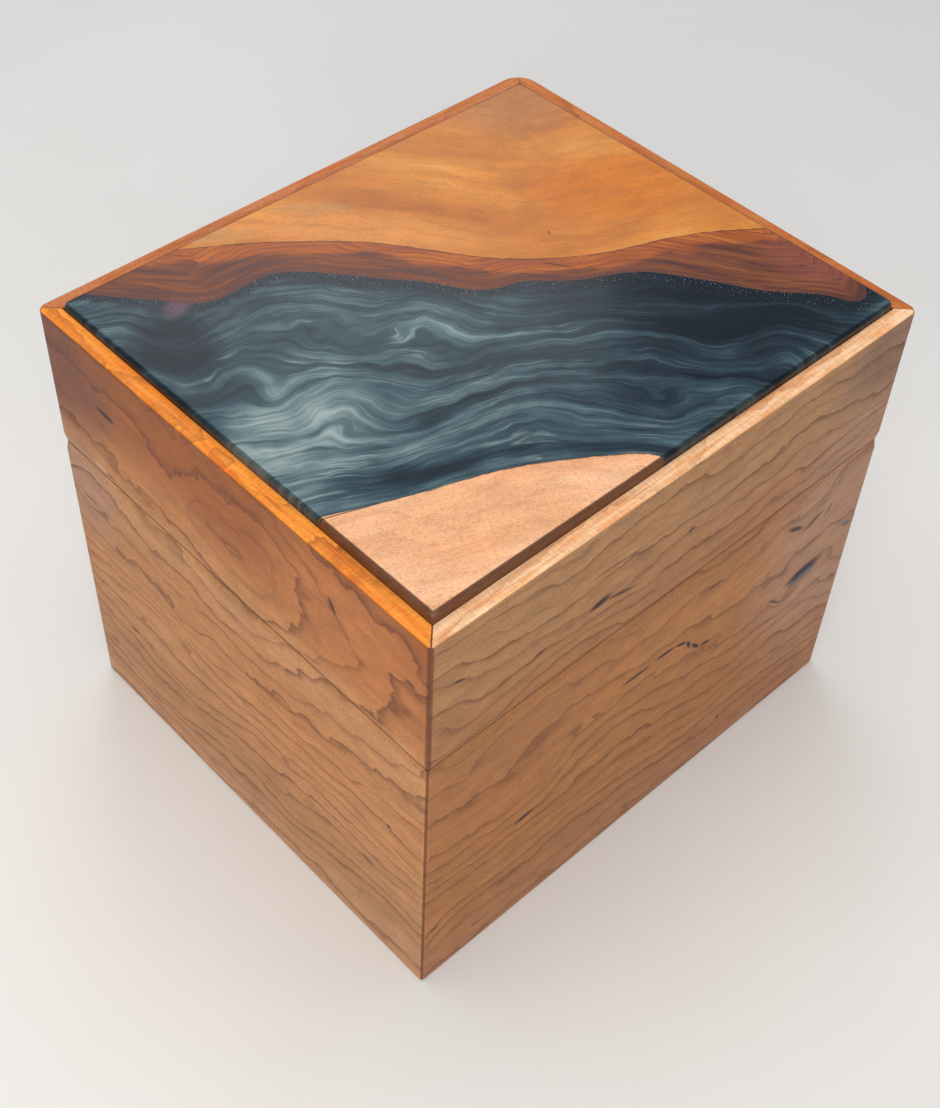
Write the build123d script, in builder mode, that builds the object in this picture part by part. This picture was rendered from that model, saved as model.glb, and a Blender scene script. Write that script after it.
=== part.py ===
from build123d import *
import os

os.makedirs("parts", exist_ok=True)

# A hardwood puzzle box. Eight mitred boards make the carcase, which was glued up whole and then sawn
# into a base and a lid. A raised river panel fills the lid, two brass hinges join the halves at the
# back, and a spin lock behind the front board holds the lid shut.
# Millimetres. +X to the right, +Y to the back, +Z up, origin in the middle of the underside.

# Carcase
length = 203.0
depth = 176.0
height = 172.0
board = 12.7
seam = 118.0
half_kerf = 0.1
corner_radii = {"front_left": 1.5, "front_right": 3.0, "back_right": 8.0, "back_left": 3.0}
top_arris = 1.0
bottom_arris = 1.2
crease_depth = 0.7
crease_height = 3.6
tip_reach = 2.0
tip_radius = 6.8

# River panel, bottom board and the rebate that each of them sits in
rebate_width = 7.2
panel_thickness = 16.0
panel_proud = 2.4
panel_lean = (0.0067, 0.012)
panel_gap = 0.15
panel_shoulder = 1.2
panel_arris = 1.35
panel_radii = {"front_left": 0, "front_right": 2.4, "back_right": 2.4, "back_left": 2.4}
bottom_thickness = 6.4

# Liner that registers the lid
liner_thickness = 5.0
liner_lip = 5.0
liner_ease = 0.3
liner_chamfer = 0.8

# Hinges
hinge_length = 36.0
hinge_centre_x = 62.0
hinge_axis_out = 2.2
knuckle_radius = 2.6
knuckle_gap = 0.3
knuckle_run = 0.4
leaf_thickness = 1.6
leaf_depth = 9.5
pin_radius = 1.1
pin_run = 0.06
pin_head_radius = 1.7
pin_head_height = 0.6
pocket_ease = 0.05
hinge_screw_pitch = 12.0
hinge_screw_in = 5.0

# Spin lock
lock_bore_height = 99.0
lock_length = 70.0
lock_low = 86.0
lock_high = 112.0
lock_thickness = 24.0
bore_inward = 12.3
slot_half = 4.2
slot_front = 2.8
slot_rear = 0.6
slot_floor = 2.0
lock_pin_radius = 4.0
collar_radius = 5.0
pin_clearance = 0.075
lock_pin_length = 22.0
lock_pin_start = 5.0
lock_pin_travel = 4.5
collar_start = 10.0
plug_gap = 0.2
tongue_half = 3.0
tongue_width = 14.0
tongue_hole_radius = 4.5
tongue_end = 9.0
tongue_arm_low = 126.0
tongue_arm_high = 132.0
tongue_plate_low = 126.0
tongue_plate_high = 147.0
tongue_plate_half = 12.0
tongue_plate = 3.0
lock_screw_x = 26.0
lock_screw_rise = 9.5

sides = ["front", "right", "back", "left"]
corners = ["front_left", "front_right", "back_right", "back_left"]
front_inner = -depth / 2 + board
liner_inner = front_inner + liner_thickness
rebate_inset = board - rebate_width
panel_top = height + panel_proud
panel_low = panel_top - panel_thickness
hinge_y = depth / 2 + hinge_axis_out


def ring_corners(inset):
    """The four plan corners of the outline at this inset, from the front left one round to the right."""
    x = length / 2 - inset
    y = depth / 2 - inset
    return [(-x, -y), (x, -y), (x, y), (-x, y)]


def mitred_plan(side, outer_inset, inner_inset):
    """Plan of one mitred side of the ring between two insets."""
    here = sides.index(side)
    there = (here + 1) % 4
    outer = ring_corners(outer_inset)
    inner = ring_corners(inner_inset)
    return [outer[here], outer[there], inner[there], inner[here]]


def rounded_plan(inset, radii):
    """A rectangle at this inset with its own radius at each corner."""
    with BuildSketch() as plan:
        Rectangle(length - 2 * inset, depth - 2 * inset)
        for corner, point in zip(corners, ring_corners(inset)):
            nearest = plan.vertices().sort_by_distance((*point, 0))[0]
            if radii[corner]:
                fillet(nearest, radius=radii[corner])
    return plan.sketch


def wood_screw(head_radius, shank_radius, reach, ease=0.0):
    """A slotted countersunk screw with its head's top at the origin, pointing down. With ease it is
    the hole that clears the screw by that much."""
    head_height = head_radius - shank_radius
    with BuildPart() as screw:
        with BuildSketch(Plane.XZ):
            with BuildLine():
                Polyline(
                    (0, ease),
                    (head_radius + ease, ease),
                    (head_radius + ease, -0.2),
                    (shank_radius + ease, -0.2 - head_height),
                    (shank_radius + ease, 2 * shank_radius - reach),
                    (0, -reach - ease),
                    close=True,
                )
            make_face()
        revolve(axis=Axis.Z)
        if not ease:
            with Locations((0, 0, 0)):
                Box(2 * head_radius + 1, 0.6, 1.0, mode=Mode.SUBTRACT)
    return screw.part


def behind(points, closing):
    """A tall block of everything behind a wavy line across the panel."""
    with BuildPart() as block:
        with BuildSketch(Plane.XY.offset(panel_low - 1)):
            with BuildLine():
                Spline(*points)
                Polyline(points[-1], *closing, points[0])
            make_face()
        extrude(amount=panel_thickness + 2 * panel_proud)
    return block.part


# Outer form of each half, from which its boards are cut. Sanding has knocked the corner tips off.
with BuildPart() as tips:
    with BuildSketch(Plane.XY.offset(-tip_reach)):
        Rectangle(length + 2 * tip_reach, depth + 2 * tip_reach)
    extrude(amount=height + 2 * tip_reach)
    upright = tips.edges().filter_by(Axis.Z)
    sharp_one = upright.sort_by_distance((-length, -depth, height / 2))[0]
    fillet([edge for edge in tips.edges() if edge != sharp_one], radius=tip_radius)

with BuildPart() as base_form:
    add(rounded_plan(0, corner_radii))
    extrude(amount=seam - half_kerf)
    upper_rim = base_form.faces().sort_by(Axis.Z)[-1]
    chamfer(upper_rim.edges(), length=crease_depth, length2=crease_height, reference=upper_rim)
    fillet(base_form.faces().sort_by(Axis.Z)[0].edges(), radius=bottom_arris)
    add(tips.part, mode=Mode.INTERSECT)

with BuildPart() as lid_form:
    with BuildSketch(Plane.XY.offset(seam + half_kerf)):
        add(rounded_plan(0, corner_radii))
    extrude(amount=height - seam - half_kerf)
    lower_rim = lid_form.faces().sort_by(Axis.Z)[0]
    chamfer(lower_rim.edges(), length=crease_depth, length2=crease_height, reference=lower_rim)
    fillet(lid_form.faces().sort_by(Axis.Z)[-1].edges(), radius=top_arris)
    add(tips.part, mode=Mode.INTERSECT)

with BuildPart() as panel_rebate:
    with BuildSketch(Plane.XY.offset(panel_low)):
        Rectangle(length - 2 * rebate_inset, depth - 2 * rebate_inset)
    extrude(amount=panel_thickness)

with BuildPart() as bottom_rebate:
    with BuildSketch():
        Rectangle(length - 2 * rebate_inset, depth - 2 * rebate_inset)
    extrude(amount=bottom_thickness)

# Screws and the holes that take them
hinge_screw = wood_screw(2.1, 1.1, 9.0)
hinge_screw_hole = wood_screw(2.1, 1.1, 9.0, ease=pocket_ease)
lock_screw = wood_screw(2.8, 1.5, 34.0)
lock_screw_hole = wood_screw(2.8, 1.5, 34.0, ease=pocket_ease)
tongue_screw = wood_screw(2.8, 1.5, 11.0)
tongue_screw_hole = wood_screw(2.8, 1.5, 11.0, ease=pocket_ease)

hinge_screw_spots = [
    (sign * hinge_centre_x + step * hinge_screw_pitch, depth / 2 - hinge_screw_in)
    for sign in (-1, 1)
    for step in (-1, 0, 1)
]
base_leaf_top = seam - half_kerf
lid_leaf_low = seam + half_kerf
lock_face = liner_inner + lock_thickness
lock_screw_spots = [
    (x, lock_face, lock_bore_height + rise)
    for x in (-lock_screw_x, lock_screw_x)
    for rise in (-lock_screw_rise, lock_screw_rise)
]
tongue_face = front_inner + tongue_plate
tongue_screw_spots = [(x, tongue_face, 140.0) for x in (-7.5, 7.5)]

# A knot in the base's front board opened two voids, which were poured full of resin
fill_depth = 3.0
void_ends = [((67.0, 67.7), (83.5, 69.9), 1.3), ((92.8, 81.9), (97.8, 80.3), 1.2)]

with BuildPart() as void_fills:
    for start, end, bulge in void_ends:
        run = Vector(*end) - Vector(*start)
        middle = (Vector(*start) + Vector(*end)) / 2
        across = Vector(-run.Y, run.X).normalized() * bulge
        with BuildSketch(Plane.XZ.offset(depth / 2)):
            with BuildLine():
                ThreePointArc(start, tuple(middle + across)[:2], end)
                ThreePointArc(end, tuple(middle - across)[:2], start)
            make_face()
        extrude(amount=-fill_depth)
void_fills.part.label = "void_fills"
export_step(void_fills.part, "parts/void_fills.step")

# Base and lid boards
with BuildPart() as leaf_pockets:
    for sign in (-1, 1):
        with BuildSketch(Plane.XY.offset(base_leaf_top - leaf_thickness)):
            with Locations((sign * hinge_centre_x, depth / 2 - leaf_depth / 2 + 2)):
                Rectangle(hinge_length + 2 * pocket_ease, leaf_depth + 4 + 2 * pocket_ease)
        extrude(amount=2 * leaf_thickness + 2 * half_kerf)

for side in sides:
    with BuildPart() as base_board:
        with BuildSketch():
            with BuildLine():
                Polyline(*mitred_plan(side, 0, board), close=True)
            make_face()
        extrude(amount=seam - half_kerf)
        add(base_form.part, mode=Mode.INTERSECT)
        add(bottom_rebate.part, mode=Mode.SUBTRACT)
        if side == "back":
            add(leaf_pockets.part, mode=Mode.SUBTRACT)
            with Locations(*[(*spot, base_leaf_top) for spot in hinge_screw_spots]):
                add(hinge_screw_hole, mode=Mode.SUBTRACT)
        if side == "front":
            add(void_fills.part, mode=Mode.SUBTRACT)
            with Locations(*lock_screw_spots):
                add(lock_screw_hole, rotation=(-90, 0, 0), mode=Mode.SUBTRACT)
    base_board.part.label = f"base_{side}"
    export_step(base_board.part, f"parts/base_{side}.step")

for side in sides:
    with BuildPart() as lid_board:
        with BuildSketch(Plane.XY.offset(seam + half_kerf)):
            with BuildLine():
                Polyline(*mitred_plan(side, 0, board), close=True)
            make_face()
        extrude(amount=height - seam - half_kerf)
        add(lid_form.part, mode=Mode.INTERSECT)
        add(panel_rebate.part, mode=Mode.SUBTRACT)
        if side == "back":
            add(leaf_pockets.part, mode=Mode.SUBTRACT)
            with Locations(*[(*spot, lid_leaf_low) for spot in hinge_screw_spots]):
                add(hinge_screw_hole, rotation=(180, 0, 0), mode=Mode.SUBTRACT)
        if side == "front":
            with Locations(*tongue_screw_spots):
                add(tongue_screw_hole, rotation=(-90, 0, 0), mode=Mode.SUBTRACT)
    lid_board.part.label = f"lid_{side}"
    export_step(lid_board.part, f"parts/lid_{side}.step")

with BuildPart() as base_bottom:
    with BuildSketch():
        inset = rebate_inset + panel_gap
        Rectangle(length - 2 * inset, depth - 2 * inset)
    extrude(amount=bottom_thickness)
base_bottom.part.label = "base_bottom"
export_step(base_bottom.part, "parts/base_bottom.step")

# Liner boards, set back a little above the seam so that the lid drops over them
for side in sides:
    with BuildPart() as liner_board:
        with BuildSketch(Plane.XY.offset(bottom_thickness)):
            with BuildLine():
                Polyline(*mitred_plan(side, board, board + liner_thickness), close=True)
            make_face()
        extrude(amount=seam - half_kerf - bottom_thickness)
        with BuildSketch(Plane.XY.offset(seam - half_kerf)):
            with BuildLine():
                Polyline(*mitred_plan(side, board + liner_ease, board + liner_thickness), close=True)
            make_face()
        extrude(amount=liner_lip + half_kerf)
        top_edges = liner_board.faces().sort_by(Axis.Z)[-1].edges()
        outer_middle = Vector(*mitred_plan(side, board, board)[0], seam)
        outer_middle += Vector(*mitred_plan(side, board, board)[1], seam)
        outer_edge = top_edges.sort_by_distance(outer_middle / 2)[0]
        chamfer(outer_edge, length=liner_chamfer)
        if side == "front":
            with Locations(*lock_screw_spots):
                add(lock_screw_hole, rotation=(-90, 0, 0), mode=Mode.SUBTRACT)
    liner_board.part.label = f"liner_{side}"
    export_step(liner_board.part, f"parts/liner_{side}.step")

# River panel: one blank, parted along three wavy lines into board, live edge, resin and board. It has
# cupped a little since it was glued up, so its front left corner stands highest.
panel_crown = Plane(origin=(0, 0, panel_top), z_dir=(*panel_lean, 1))
with BuildPart() as panel_form:
    with BuildSketch(Plane.XY.offset(panel_low)):
        inset = rebate_inset + panel_gap
        Rectangle(length - 2 * inset, depth - 2 * inset)
    extrude(amount=height - panel_shoulder - panel_low)
    with BuildSketch(Plane.XY.offset(height - panel_shoulder)):
        add(rounded_plan(inset, panel_radii))
    extrude(amount=panel_shoulder + 2 * panel_proud)
    split(bisect_by=panel_crown, keep=Keep.BOTTOM)
    fillet(panel_form.faces().sort_by(Axis.Z)[-1].edges(), radius=panel_arris)

far = length
behind_glue_line = behind(
    [
        (-72, 91), (-56.4, 81.8), (-42.9, 74.2), (-22.7, 59.6), (-6.5, 44.9), (7.0, 27.1), (18.8, 12.2),
        (33.4, 0.3), (47.5, -7.8), (64.2, -13.9), (76.8, -19.8), (91.9, -30.0), (101, -37),
    ],
    [(far, -37), (far, far), (-72, far)],
)
behind_live_edge = behind(
    [
        (-98, 92), (-88.2, 81.1), (-80, 71.5), (-72.2, 62.7), (-63.5, 54.5), (-53.5, 52.9), (-40.3, 52.5),
        (-32.4, 47.7), (-24.1, 38.6), (-16.2, 29.0), (-5.9, 17.5), (1.0, 7.0), (8.6, 1.7), (15.3, -0.2),
        (25.0, -7.9), (35.9, -14.6), (47.1, -21.0), (55.1, -30.6), (61.9, -41.1), (68.6, -51.5),
        (76.8, -60.6), (83.6, -69.5), (86.2, -74.2), (90.2, -75.0), (94.0, -72.5), (100, -67),
    ],
    [(far, -67), (far, far), (-98, far)],
)
behind_front_edge = behind(
    [
        (-102, -35), (-94.5, -37.9), (-82.5, -43.0), (-66.5, -49.1), (-47.0, -56.0), (-31.9, -64.0),
        (-17.7, -73.3), (-11.2, -79.0), (-9.4, -86),
    ],
    [(-9.4, -far), (far, -far), (far, far), (-far, far), (-far, -35)],
)

with BuildPart() as panel_rear_board:
    add(panel_form.part)
    add(behind_glue_line, mode=Mode.INTERSECT)
panel_rear_board.part.label = "panel_rear_board"
export_step(panel_rear_board.part, "parts/panel_rear_board.step")

with BuildPart() as panel_live_edge:
    add(panel_form.part)
    add(behind_live_edge, mode=Mode.INTERSECT)
    add(behind_glue_line, mode=Mode.SUBTRACT)
panel_live_edge.part.label = "panel_live_edge"
export_step(panel_live_edge.part, "parts/panel_live_edge.step")

with BuildPart() as panel_river:
    add(panel_form.part)
    add(behind_front_edge, mode=Mode.INTERSECT)
    add(behind_live_edge, mode=Mode.SUBTRACT)
panel_river.part.label = "panel_river"
export_step(panel_river.part, "parts/panel_river.step")

with BuildPart() as panel_front_board:
    add(panel_form.part)
    add(behind_front_edge, mode=Mode.SUBTRACT)
panel_front_board.part.label = "panel_front_board"
export_step(panel_front_board.part, "parts/panel_front_board.step")

# Hinges: three knuckles, the middle one on the lid's leaf, and a headed pin through them
knuckle = (hinge_length - 2 * knuckle_gap) / 3
leaf_rear = hinge_y - knuckle_radius - knuckle_run
leaf_front = depth / 2 - leaf_depth

for name, sign in (("left", -1), ("right", 1)):
    centre = sign * hinge_centre_x
    outer_spots = [centre - knuckle - knuckle_gap, centre + knuckle + knuckle_gap]

    with BuildPart() as base_leaf:
        with BuildSketch(Plane.XY.offset(base_leaf_top - leaf_thickness)):
            with Locations((centre, (leaf_front + leaf_rear) / 2)):
                Rectangle(hinge_length, leaf_rear - leaf_front)
            with Locations(*[(x, (leaf_front + hinge_y) / 2) for x in outer_spots]):
                Rectangle(knuckle, hinge_y - leaf_front)
        extrude(amount=leaf_thickness)
        for x in outer_spots:
            with BuildSketch(Plane.YZ.offset(x - knuckle / 2)):
                with Locations((hinge_y, seam)):
                    Circle(knuckle_radius)
            extrude(amount=knuckle)
            with BuildSketch(Plane.YZ.offset(x - knuckle / 2)):
                with Locations((hinge_y, seam)):
                    Circle(pin_radius)
            extrude(amount=knuckle, mode=Mode.SUBTRACT)
        with Locations(*[(*spot, base_leaf_top) for spot in hinge_screw_spots]):
            add(hinge_screw_hole, mode=Mode.SUBTRACT)
    base_leaf.part.label = f"hinge_{name}_base_leaf"
    export_step(base_leaf.part, f"parts/hinge_{name}_base_leaf.step")

    with BuildPart() as lid_leaf:
        with BuildSketch(Plane.XY.offset(lid_leaf_low)):
            with Locations((centre, (leaf_front + leaf_rear) / 2)):
                Rectangle(hinge_length, leaf_rear - leaf_front)
            with Locations((centre, (leaf_front + hinge_y) / 2)):
                Rectangle(knuckle, hinge_y - leaf_front)
        extrude(amount=leaf_thickness)
        with BuildSketch(Plane.YZ.offset(centre - knuckle / 2)):
            with Locations((hinge_y, seam)):
                Circle(knuckle_radius)
        extrude(amount=knuckle)
        with BuildSketch(Plane.YZ.offset(centre - knuckle / 2)):
            with Locations((hinge_y, seam)):
                Circle(pin_radius + pin_run)
        extrude(amount=knuckle, mode=Mode.SUBTRACT)
        with Locations(*[(*spot, lid_leaf_low) for spot in hinge_screw_spots]):
            add(hinge_screw_hole, rotation=(180, 0, 0), mode=Mode.SUBTRACT)
    lid_leaf.part.label = f"hinge_{name}_lid_leaf"
    export_step(lid_leaf.part, f"parts/hinge_{name}_lid_leaf.step")

    with BuildPart() as hinge_pin:
        with BuildSketch(Plane.YZ.offset(centre - hinge_length / 2)):
            with Locations((hinge_y, seam)):
                Circle(pin_radius)
        extrude(amount=hinge_length)
        for end, reach in ((-1, -pin_head_height), (1, pin_head_height)):
            with BuildSketch(Plane.YZ.offset(centre + end * hinge_length / 2)):
                with Locations((hinge_y, seam)):
                    Circle(pin_head_radius)
            extrude(amount=reach)
    hinge_pin.part.label = f"hinge_{name}_pin"
    export_step(hinge_pin.part, f"parts/hinge_{name}_pin.step")

with BuildPart() as base_hinge_screws:
    with Locations(*[(*spot, base_leaf_top) for spot in hinge_screw_spots]):
        add(hinge_screw)
base_hinge_screws.part.label = "base_hinge_screws"
export_step(base_hinge_screws.part, "parts/base_hinge_screws.step")

with BuildPart() as lid_hinge_screws:
    with Locations(*[(*spot, lid_leaf_low) for spot in hinge_screw_spots]):
        add(hinge_screw, rotation=(180, 0, 0))
lid_hinge_screws.part.label = "lid_hinge_screws"
export_step(lid_hinge_screws.part, "parts/lid_hinge_screws.step")

# Spin lock. The block is bored end to end, wider from each end up to a shoulder where the pin's
# collar stops, and slotted across the middle for the tongue.
bore_y = liner_inner + bore_inward
slot_low_y = bore_y - tongue_width / 2 - slot_front
slot_high_y = bore_y + tongue_width / 2 + slot_rear

with BuildPart() as lock_block:
    with BuildSketch(Plane.XY.offset(lock_low)):
        with Locations((0, liner_inner + lock_thickness / 2)):
            Rectangle(lock_length, lock_thickness)
    extrude(amount=lock_high - lock_low)
    inner_top = lock_block.faces().sort_by(Axis.Z)[-1].edges().filter_by(Axis.X).sort_by(Axis.Y)[-1]
    chamfer(inner_top, length=2.0)
    with BuildSketch(Plane.YZ.offset(-lock_length / 2)):
        with Locations((bore_y, lock_bore_height)):
            Circle(lock_pin_radius + pin_clearance)
    extrude(amount=lock_length, mode=Mode.SUBTRACT)
    for end in (-1, 1):
        with BuildSketch(Plane.YZ.offset(end * collar_start)):
            with Locations((bore_y, lock_bore_height)):
                Circle(collar_radius + pin_clearance)
        extrude(amount=end * (lock_length / 2 - collar_start), mode=Mode.SUBTRACT)
    with BuildSketch(Plane.XY.offset(lock_low + slot_floor)):
        with Locations((0, (slot_low_y + slot_high_y) / 2)):
            Rectangle(2 * slot_half, slot_high_y - slot_low_y)
    extrude(amount=lock_high - lock_low, mode=Mode.SUBTRACT)
    with Locations(*lock_screw_spots):
        add(lock_screw_hole, rotation=(-90, 0, 0), mode=Mode.SUBTRACT)
lock_block.part.label = "lock_block"
export_step(lock_block.part, "parts/lock_block.step")

plug_start = lock_pin_start + lock_pin_length + plug_gap
for name, end in (("left", -1), ("right", 1)):
    with BuildPart() as lock_pin:
        with BuildSketch(Plane.YZ.offset(end * lock_pin_start)):
            with Locations((bore_y, lock_bore_height)):
                Circle(lock_pin_radius)
        extrude(amount=end * lock_pin_length)
        with BuildSketch(Plane.YZ.offset(end * (collar_start + lock_pin_travel))):
            with Locations((bore_y, lock_bore_height)):
                Circle(collar_radius)
        extrude(amount=end * (lock_pin_start + lock_pin_length - collar_start - lock_pin_travel))
        outermost = lock_pin.edges().filter_by(GeomType.CIRCLE).sort_by(Axis.X)
        chamfer([outermost[0], outermost[-1]], length=0.8)
    lock_pin.part.label = f"lock_pin_{name}"
    export_step(lock_pin.part, f"parts/lock_pin_{name}.step")

    with BuildPart() as lock_plug:
        with BuildSketch(Plane.YZ.offset(end * plug_start)):
            with Locations((bore_y, lock_bore_height)):
                Circle(collar_radius + pin_clearance)
        extrude(amount=end * (lock_length / 2 - plug_start))
        with BuildSketch(Plane.YZ.offset(end * (lock_length / 2 - 1.0))):
            with Locations((bore_y, lock_bore_height)):
                Rectangle(2 * collar_radius + 2, 1.2)
        extrude(amount=end * 2.0, mode=Mode.SUBTRACT)
    lock_plug.part.label = f"lock_plug_{name}"
    export_step(lock_plug.part, f"parts/lock_plug_{name}.step")

with BuildPart() as lock_block_screws:
    with Locations(*lock_screw_spots):
        add(lock_screw, rotation=(-90, 0, 0))
lock_block_screws.part.label = "lock_block_screws"
export_step(lock_block_screws.part, "parts/lock_block_screws.step")

# Tongue: a plate on the lid's front board, an arm over the liner and a drop with the pin hole
with BuildPart() as lock_tongue:
    with BuildSketch(Plane.XZ.offset(-front_inner)):
        with Locations((0, (tongue_plate_low + tongue_plate_high) / 2)):
            RectangleRounded(2 * tongue_plate_half, tongue_plate_high - tongue_plate_low, 2.0)
    extrude(amount=-tongue_plate)
    with BuildSketch(Plane.YZ.offset(-tongue_half)):
        with BuildLine():
            Polyline(
                (front_inner, tongue_arm_low),
                (bore_y - tongue_width / 2, tongue_arm_low),
                (bore_y - tongue_width / 2, lock_bore_height - tongue_end),
                (bore_y + tongue_width / 2, lock_bore_height - tongue_end),
                (bore_y + tongue_width / 2, tongue_arm_high),
                (front_inner, tongue_arm_high),
                close=True,
            )
        make_face()
    extrude(amount=2 * tongue_half)
    tip = lock_tongue.edges().filter_by(Axis.X).group_by(Axis.Z)[0]
    fillet(tip, radius=4.0)
    crown = lock_tongue.edges().filter_by(Axis.X).sort_by_distance(
        (0, bore_y + tongue_width / 2, tongue_arm_high)
    )[0]
    fillet(crown, radius=4.0)
    with BuildSketch(Plane.YZ.offset(-tongue_half)):
        with Locations((bore_y, lock_bore_height)):
            Circle(tongue_hole_radius)
    extrude(amount=2 * tongue_half, mode=Mode.SUBTRACT)
    with Locations(*tongue_screw_spots):
        add(tongue_screw_hole, rotation=(-90, 0, 0), mode=Mode.SUBTRACT)
lock_tongue.part.label = "lock_tongue"
export_step(lock_tongue.part, "parts/lock_tongue.step")

with BuildPart() as tongue_screws:
    with Locations(*tongue_screw_spots):
        add(tongue_screw, rotation=(-90, 0, 0))
tongue_screws.part.label = "tongue_screws"
export_step(tongue_screws.part, "parts/tongue_screws.step")
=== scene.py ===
# %% [markdown]
# # A wooden puzzle box, dressed for a portrait
# The packed model already holds every board, hinge and lock pin at its true size. This lesson gives
# them their looks: cherry whose growth lines run on across the lid's saw cut, a poured resin river
# between two pale boards, and plain brass and steel for what hides inside. Each step says what the
# thing is on the real box, how it could be made, and why this way was chosen.

# %% The fixed frame
import math
from types import SimpleNamespace

import bmesh
import bpy
from mathutils import Matrix, Vector
from mathutils.kdtree import KDTree


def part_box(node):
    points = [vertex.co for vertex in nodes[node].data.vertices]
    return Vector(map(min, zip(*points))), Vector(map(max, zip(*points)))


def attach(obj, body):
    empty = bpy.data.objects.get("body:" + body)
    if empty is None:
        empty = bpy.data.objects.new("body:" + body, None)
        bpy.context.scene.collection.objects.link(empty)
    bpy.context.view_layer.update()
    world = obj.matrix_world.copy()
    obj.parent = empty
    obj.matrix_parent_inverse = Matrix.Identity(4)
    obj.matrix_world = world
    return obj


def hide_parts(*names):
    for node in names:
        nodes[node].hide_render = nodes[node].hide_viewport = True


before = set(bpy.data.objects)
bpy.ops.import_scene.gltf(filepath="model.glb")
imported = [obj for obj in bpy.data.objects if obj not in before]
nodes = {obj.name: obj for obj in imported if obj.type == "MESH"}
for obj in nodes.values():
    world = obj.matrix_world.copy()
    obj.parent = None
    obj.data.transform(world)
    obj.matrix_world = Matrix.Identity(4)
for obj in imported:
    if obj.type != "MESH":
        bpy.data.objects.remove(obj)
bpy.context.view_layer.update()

# %% [markdown]
# Positions come from the model, never from a guess. The boards are named after the side of the box
# that they close, so two of them give the outline, and two more give the saw cut and the rim. Sizes are
# in millimetres unless their names say metres. The camera and the lights are placed in metres.
# The panel lies in the middle, so the back corner of its rear board gives its reach both ways.

# %% Sizes that everything else is worked out from
MM = 0.001
HALF_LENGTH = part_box("base_right")[1].x / MM
HALF_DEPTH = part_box("base_back")[1].y / MM
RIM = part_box("lid_front")[1].z / MM
SEAM = (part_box("base_front")[1].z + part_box("lid_front")[0].z) / 2 / MM
PANEL_REACH_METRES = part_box("panel_rear_board")[1]
print(f"half length {HALF_LENGTH:.1f}, half depth {HALF_DEPTH:.1f}, rim {RIM:.1f}, seam {SEAM:.1f} mm")

# %% [markdown]
# ## Camera
# A camera can be aimed with a Track To constraint, but this view leans a little to one side, which a
# constraint can't hold. So the camera's own three directions are worked out from a turn, a tilt and a
# roll, and set as the columns of its matrix.

# %% Camera
LENS_MM = 53.4
SENSOR_MM = 36.0
CAMERA_PLACE = Vector((-0.2789, -0.2747, 0.4899))
TURN, TILT, ROLL = (math.radians(angle) for angle in (44.59, -47.60, 3.04))

camera_data = bpy.data.cameras.new("portrait_camera")
camera_data.lens = LENS_MM
camera_data.sensor_width = SENSOR_MM
camera = bpy.data.objects.new("portrait_camera", camera_data)
bpy.context.scene.collection.objects.link(camera)
forward = Vector((math.cos(TILT) * math.cos(TURN), math.cos(TILT) * math.sin(TURN), math.sin(TILT)))
level_right = forward.cross(Vector((0, 0, 1))).normalized()
level_up = level_right.cross(forward)
camera_right = math.cos(ROLL) * level_right + math.sin(ROLL) * level_up
camera_up = math.cos(ROLL) * level_up - math.sin(ROLL) * level_right
turned = Matrix((camera_right, camera_up, -forward)).transposed().to_4x4()
camera.matrix_world = Matrix.Translation(CAMERA_PLACE) @ turned
bpy.context.scene.camera = camera
print("camera stands", round(CAMERA_PLACE.length, 3), "m from the underside's middle")

# %% [markdown]
# ## Light
# The box stands under one soft source as big as a window, with a stronger and wider one at the camera's
# side so that both near faces read, a faint one behind, and a pale sky all round. Area lights are used
# rather than a sun because satin oil and pearl resin need something wide to reflect.

# %% Lights and sky
SKY_COLOUR = (0.93, 0.96, 1.0, 1)
SKY_STRENGTH = 0.36


def soft_light(name, place, aim, size, power, tint):
    """A square area light at a place, facing a point."""
    data = bpy.data.lights.new(name, "AREA")
    data.shape = "SQUARE"
    data.size = size
    data.energy = power
    data.color = tint
    light = bpy.data.objects.new(name, data)
    light.location = place
    light.rotation_euler = (Vector(aim) - Vector(place)).to_track_quat("-Z", "Y").to_euler()
    bpy.context.scene.collection.objects.link(light)


soft_light("top_light", place=(-0.02, 0.10, 0.95), aim=(0.02, 0.02, 0.0), size=0.75, power=4.0,
           tint=(1.0, 0.98, 0.95))
soft_light("near_light", place=(-0.85, -0.80, 0.62), aim=(0, 0, 0.08), size=0.9, power=10.6,
           tint=(1.0, 0.97, 0.93))
soft_light("far_light", place=(0.55, 0.75, 0.70), aim=(0, 0, 0.15), size=0.5, power=1.4,
           tint=(0.95, 0.98, 1.0))
sky = bpy.data.worlds.new("pale_sky")
sky.use_nodes = True
sky.node_tree.nodes["Background"].inputs["Color"].default_value = SKY_COLOUR
sky.node_tree.nodes["Background"].inputs["Strength"].default_value = SKY_STRENGTH
bpy.context.scene.world = sky
bpy.context.scene.view_settings.view_transform = "Standard"

# %% [markdown]
# ## A bench for nodes
# Every finish below is a web of shader nodes. Wiring them one by one hides the idea behind the
# plumbing, so a small bench lays a node and wires it in one call. Each helper hands back the socket
# that carries its answer, and that socket goes straight into the next call.

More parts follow.
